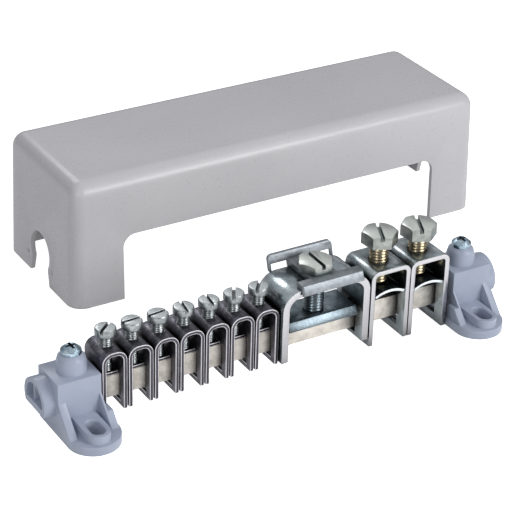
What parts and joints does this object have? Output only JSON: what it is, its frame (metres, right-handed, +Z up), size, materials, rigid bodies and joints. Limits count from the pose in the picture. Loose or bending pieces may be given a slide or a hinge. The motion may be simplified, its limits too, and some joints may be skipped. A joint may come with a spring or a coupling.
{
  "type": "equipotential bonding bar",
  "caption": "Flat contact bar in two moulded feet, with small screw clamps, a wide strip clamp, large conductor clamps, and its moulded cover standing behind it.",
  "frame": {"origin": "on the standing plane, midway between the feet, at the centreline of the contact bar", "axes": "+X along the bar from the small clamps to the large ones, +Y across the bar towards the cover, +Z up"},
  "size_m": [0.2496, 0.1626, 0.0558],
  "materials": {
    "tinned_bar": "tinned, dull, slightly mottled",
    "foot_plastic": "moulded, fine satin",
    "cover_plastic": "moulded, satin",
    "foot_screw_steel": "blue-white zinc plated",
    "bright_zinc": "bright zinc plated",
    "galvanised_strap": "matt galvanised",
    "plate_zinc": "zinc plated",
    "hex_screw_zinc": "zinc plated, yellowish thread",
    "slotted_screw_zinc": "zinc plated, greenish",
    "passivated_steel": "dark passivated, mottled, bright cut edges"
  },
  "bodies": {
    "root": {"contact_bar": "tinned_bar", "left_foot": "foot_plastic", "right_foot": "foot_plastic", "left_foot_screw": "foot_screw_steel", "right_foot_screw": "foot_screw_steel", "cover": "cover_plastic"},
    "small_clamp_1_stirrup": {"small_clamp_1_stirrup": "passivated_steel"},
    "small_clamp_1_plate": {"small_clamp_1_plate": "plate_zinc"},
    "small_clamp_1_screw": {"small_clamp_1_screw": "slotted_screw_zinc"},
    "small_clamp_2_stirrup": {"small_clamp_2_stirrup": "passivated_steel"},
    "small_clamp_2_plate": {"small_clamp_2_plate": "plate_zinc"},
    "small_clamp_2_screw": {"small_clamp_2_screw": "slotted_screw_zinc"},
    "small_clamp_3_stirrup": {"small_clamp_3_stirrup": "passivated_steel"},
    "small_clamp_3_plate": {"small_clamp_3_plate": "plate_zinc"},
    "small_clamp_3_screw": {"small_clamp_3_screw": "slotted_screw_zinc"},
    "small_clamp_4_stirrup": {"small_clamp_4_stirrup": "passivated_steel"},
    "small_clamp_4_plate": {"small_clamp_4_plate": "plate_zinc"},
    "small_clamp_4_screw": {"small_clamp_4_screw": "slotted_screw_zinc"},
    "small_clamp_5_stirrup": {"small_clamp_5_stirrup": "passivated_steel"},
    "small_clamp_5_plate": {"small_clamp_5_plate": "plate_zinc"},
    "small_clamp_5_screw": {"small_clamp_5_screw": "slotted_screw_zinc"},
    "small_clamp_6_stirrup": {"small_clamp_6_stirrup": "passivated_steel"},
    "small_clamp_6_plate": {"small_clamp_6_plate": "plate_zinc"},
    "small_clamp_6_screw": {"small_clamp_6_screw": "slotted_screw_zinc"},
    "small_clamp_7_stirrup": {"small_clamp_7_stirrup": "passivated_steel"},
    "small_clamp_7_plate": {"small_clamp_7_plate": "plate_zinc"},
    "small_clamp_7_screw": {"small_clamp_7_screw": "slotted_screw_zinc"},
    "wide_clamp_stirrup": {"wide_clamp_stirrup": "bright_zinc", "wide_clamp_strap": "galvanised_strap"},
    "wide_clamp_plate": {"wide_clamp_plate": "plate_zinc"},
    "wide_clamp_screw": {"wide_clamp_screw": "hex_screw_zinc"},
    "large_clamp_1_stirrup": {"large_clamp_1_stirrup": "bright_zinc"},
    "large_clamp_1_saddle": {"large_clamp_1_saddle": "plate_zinc"},
    "large_clamp_1_screw": {"large_clamp_1_screw": "hex_screw_zinc"},
    "large_clamp_2_stirrup": {"large_clamp_2_stirrup": "bright_zinc"},
    "large_clamp_2_saddle": {"large_clamp_2_saddle": "plate_zinc"},
    "large_clamp_2_screw": {"large_clamp_2_screw": "hex_screw_zinc"}
  },
  "joints": [
    {"name": "small_clamp_1_lift", "type": "slide", "parent": "root", "child": "small_clamp_1_stirrup", "axis": [0, 0, 1], "range_m": [0, 0.00195]},
    {"name": "small_clamp_1_plate_travel", "type": "slide", "parent": "small_clamp_1_stirrup", "child": "small_clamp_1_plate", "axis": [0, 0, 1], "range_m": [0, 0.007]},
    {"name": "small_clamp_1_screw_turn", "type": "hinge", "parent": "small_clamp_1_plate", "child": "small_clamp_1_screw", "pos_m": [-0.07362, 0, 0], "axis": [0, 0, 1], "range_deg": [0, 3159]},
    {"name": "small_clamp_2_lift", "type": "slide", "parent": "root", "child": "small_clamp_2_stirrup", "axis": [0, 0, 1], "range_m": [0, 0.00195]},
    {"name": "small_clamp_2_plate_travel", "type": "slide", "parent": "small_clamp_2_stirrup", "child": "small_clamp_2_plate", "axis": [0, 0, 1], "range_m": [0, 0.007]},
    {"name": "small_clamp_2_screw_turn", "type": "hinge", "parent": "small_clamp_2_plate", "child": "small_clamp_2_screw", "pos_m": [-0.06269, 0, 0], "axis": [0, 0, 1], "range_deg": [0, 3159]},
    {"name": "small_clamp_3_lift", "type": "slide", "parent": "root", "child": "small_clamp_3_stirrup", "axis": [0, 0, 1], "range_m": [0, 0.00195]},
    {"name": "small_clamp_3_plate_travel", "type": "slide", "parent": "small_clamp_3_stirrup", "child": "small_clamp_3_plate", "axis": [0, 0, 1], "range_m": [0, 0.007]},
    {"name": "small_clamp_3_screw_turn", "type": "hinge", "parent": "small_clamp_3_plate", "child": "small_clamp_3_screw", "pos_m": [-0.05176, 0, 0], "axis": [0, 0, 1], "range_deg": [0, 3159]},
    {"name": "small_clamp_4_lift", "type": "slide", "parent": "root", "child": "small_clamp_4_stirrup", "axis": [0, 0, 1], "range_m": [0, 0.00195]},
    {"name": "small_clamp_4_plate_travel", "type": "slide", "parent": "small_clamp_4_stirrup", "child": "small_clamp_4_plate", "axis": [0, 0, 1], "range_m": [0, 0.007]},
    {"name": "small_clamp_4_screw_turn", "type": "hinge", "parent": "small_clamp_4_plate", "child": "small_clamp_4_screw", "pos_m": [-0.04083, 0, 0], "axis": [0, 0, 1], "range_deg": [0, 3159]},
    {"name": "small_clamp_5_lift", "type": "slide", "parent": "root", "child": "small_clamp_5_stirrup", "axis": [0, 0, 1], "range_m": [0, 0.00195]},
    {"name": "small_clamp_5_plate_travel", "type": "slide", "parent": "small_clamp_5_stirrup", "child": "small_clamp_5_plate", "axis": [0, 0, 1], "range_m": [0, 0.007]},
    {"name": "small_clamp_5_screw_turn", "type": "hinge", "parent": "small_clamp_5_plate", "child": "small_clamp_5_screw", "pos_m": [-0.0299, 0, 0], "axis": [0, 0, 1], "range_deg": [0, 3159]},
    {"name": "small_clamp_6_lift", "type": "slide", "parent": "root", "child": "small_clamp_6_stirrup", "axis": [0, 0, 1], "range_m": [0, 0.00195]},
    {"name": "small_clamp_6_plate_travel", "type": "slide", "parent": "small_clamp_6_stirrup", "child": "small_clamp_6_plate", "axis": [0, 0, 1], "range_m": [0, 0.007]},
    {"name": "small_clamp_6_screw_turn", "type": "hinge", "parent": "small_clamp_6_plate", "child": "small_clamp_6_screw", "pos_m": [-0.01897, 0, 0], "axis": [0, 0, 1], "range_deg": [0, 3159]},
    {"name": "small_clamp_7_lift", "type": "slide", "parent": "root", "child": "small_clamp_7_stirrup", "axis": [0, 0, 1], "range_m": [0, 0.00195]},
    {"name": "small_clamp_7_plate_travel", "type": "slide", "parent": "small_clamp_7_stirrup", "child": "small_clamp_7_plate", "axis": [0, 0, 1], "range_m": [0, 0.007]},
    {"name": "small_clamp_7_screw_turn", "type": "hinge", "parent": "small_clamp_7_plate", "child": "small_clamp_7_screw", "pos_m": [-0.00804, 0, 0], "axis": [0, 0, 1], "range_deg": [0, 3159]},
    {"name": "wide_clamp_lift", "type": "slide", "parent": "root", "child": "wide_clamp_stirrup", "axis": [0, 0, 1], "range_m": [0, 0.00165]},
    {"name": "wide_clamp_plate_travel", "type": "slide", "parent": "wide_clamp_stirrup", "child": "wide_clamp_plate", "axis": [0, 0, 1], "range_m": [0, 0.01002]},
    {"name": "wide_clamp_screw_turn", "type": "hinge", "parent": "wide_clamp_plate", "child": "wide_clamp_screw", "pos_m": [0.0175, 0, 0], "axis": [0, 0, 1], "range_deg": [0, 2880]},
    {"name": "large_clamp_1_lift", "type": "slide", "parent": "root", "child": "large_clamp_1_stirrup", "axis": [0, 0, 1], "range_m": [0, 0.00345]},
    {"name": "large_clamp_1_saddle_travel", "type": "slide", "parent": "large_clamp_1_stirrup", "child": "large_clamp_1_saddle", "axis": [0, 0, 1], "range_m": [-0.00457, 0.00682]},
    {"name": "large_clamp_1_screw_turn", "type": "hinge", "parent": "large_clamp_1_saddle", "child": "large_clamp_1_screw", "pos_m": [0.0472, 0, 0], "axis": [0, 0, 1], "range_deg": [-1310.4, 1958.4]},
    {"name": "large_clamp_2_lift", "type": "slide", "parent": "root", "child": "large_clamp_2_stirrup", "axis": [0, 0, 1], "range_m": [0, 0.00345]},
    {"name": "large_clamp_2_saddle_travel", "type": "slide", "parent": "large_clamp_2_stirrup", "child": "large_clamp_2_saddle", "axis": [0, 0, 1], "range_m": [-0.00337, 0.00802]},
    {"name": "large_clamp_2_screw_turn", "type": "hinge", "parent": "large_clamp_2_saddle", "child": "large_clamp_2_screw", "pos_m": [0.0659, 0, 0], "axis": [0, 0, 1], "range_deg": [-964.8, 2304]}
  ],
  "couplings": [
    {"joint": "small_clamp_1_screw_turn", "follows": "small_clamp_1_plate_travel", "rad_per_m": 7854},
    {"joint": "small_clamp_2_screw_turn", "follows": "small_clamp_2_plate_travel", "rad_per_m": 7854},
    {"joint": "small_clamp_3_screw_turn", "follows": "small_clamp_3_plate_travel", "rad_per_m": 7854},
    {"joint": "small_clamp_4_screw_turn", "follows": "small_clamp_4_plate_travel", "rad_per_m": 7854},
    {"joint": "small_clamp_5_screw_turn", "follows": "small_clamp_5_plate_travel", "rad_per_m": 7854},
    {"joint": "small_clamp_6_screw_turn", "follows": "small_clamp_6_plate_travel", "rad_per_m": 7854},
    {"joint": "small_clamp_7_screw_turn", "follows": "small_clamp_7_plate_travel", "rad_per_m": 7854},
    {"joint": "wide_clamp_plate_travel", "follows": "wide_clamp_screw_turn", "m_per_rad": 0.00019894},
    {"joint": "large_clamp_1_saddle_travel", "follows": "large_clamp_1_screw_turn", "m_per_rad": 0.00019894},
    {"joint": "large_clamp_2_saddle_travel", "follows": "large_clamp_2_screw_turn", "m_per_rad": 0.00019894}
  ]
}
